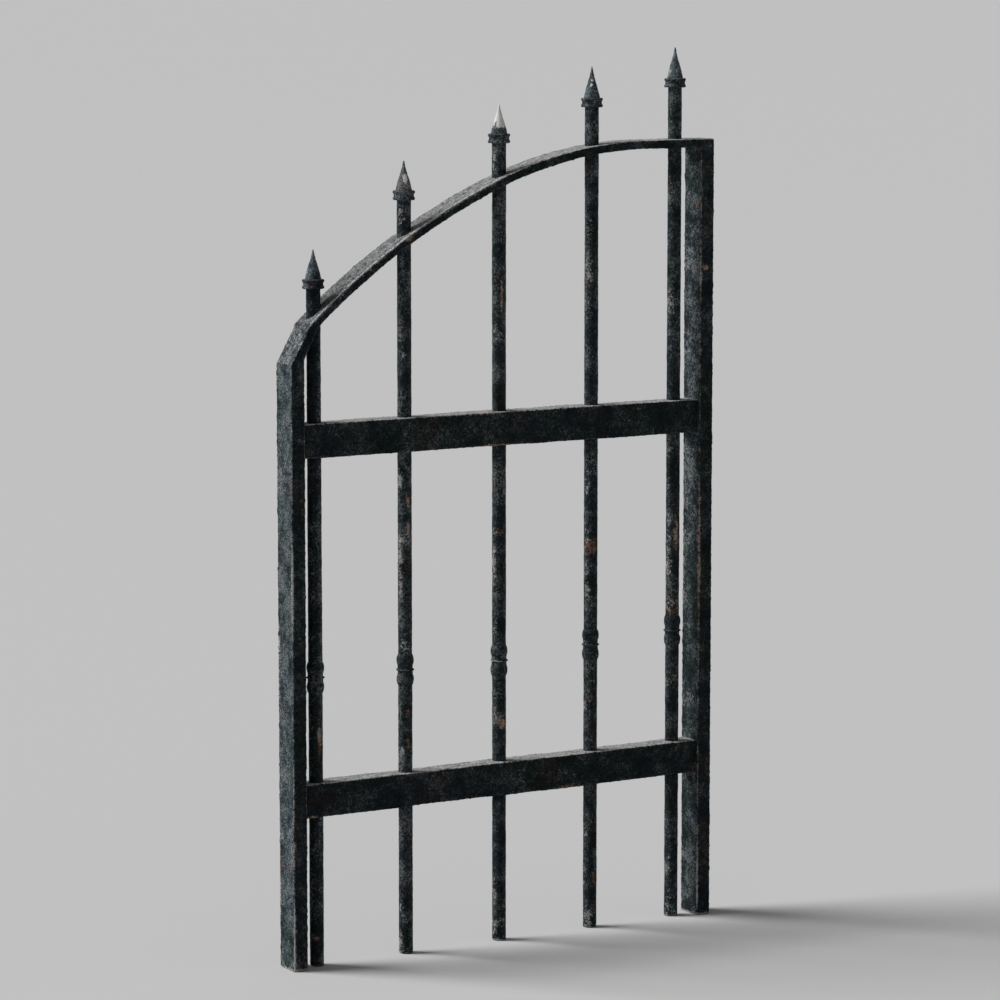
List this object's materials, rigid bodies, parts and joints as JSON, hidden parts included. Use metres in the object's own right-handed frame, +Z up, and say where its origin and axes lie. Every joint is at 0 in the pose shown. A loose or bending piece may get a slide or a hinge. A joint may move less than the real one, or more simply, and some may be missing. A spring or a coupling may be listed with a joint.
{
  "type": "wrought iron driveway gate",
  "caption": "Tall iron gate leaf with round bars through two box rails and an arched top rail, beaded collars and spear points; hung from its short stile.",
  "frame": {"origin": "on the hinge stile's flat outer face, at ground level, midway through the stile's depth", "axes": "+X along the leaf from the hinge stile to the meeting stile, +Y from the front to the back, +Z up"},
  "size_m": [0.984, 0.06, 1.7975],
  "materials": {
    "frame_paint": "weathered, chipped and rust-flecked dark paint",
    "bar_paint": "weathered, chipped and rust-flecked dark paint",
    "casting_paint": "weathered dark paint, worn pale on the points"
  },
  "bodies": {
    "root": {"hinge_stile": "frame_paint", "meeting_stile": "frame_paint", "lower_rail": "frame_paint", "middle_rail": "frame_paint", "arched_top_rail": "frame_paint", "bar_1": "bar_paint", "bar_2": "bar_paint", "bar_3": "bar_paint", "bar_4": "bar_paint", "bar_5": "bar_paint", "bead_collar_1": "casting_paint", "bead_collar_2": "casting_paint", "bead_collar_3": "casting_paint", "bead_collar_4": "casting_paint", "bead_collar_5": "casting_paint", "point_collar_1": "casting_paint", "point_collar_2": "casting_paint", "point_collar_3": "casting_paint", "point_collar_4": "casting_paint", "point_collar_5": "casting_paint", "spear_point_1": "casting_paint", "spear_point_2": "casting_paint", "spear_point_3": "casting_paint", "spear_point_4": "casting_paint", "spear_point_5": "casting_paint"}
  },
  "joints": []
}
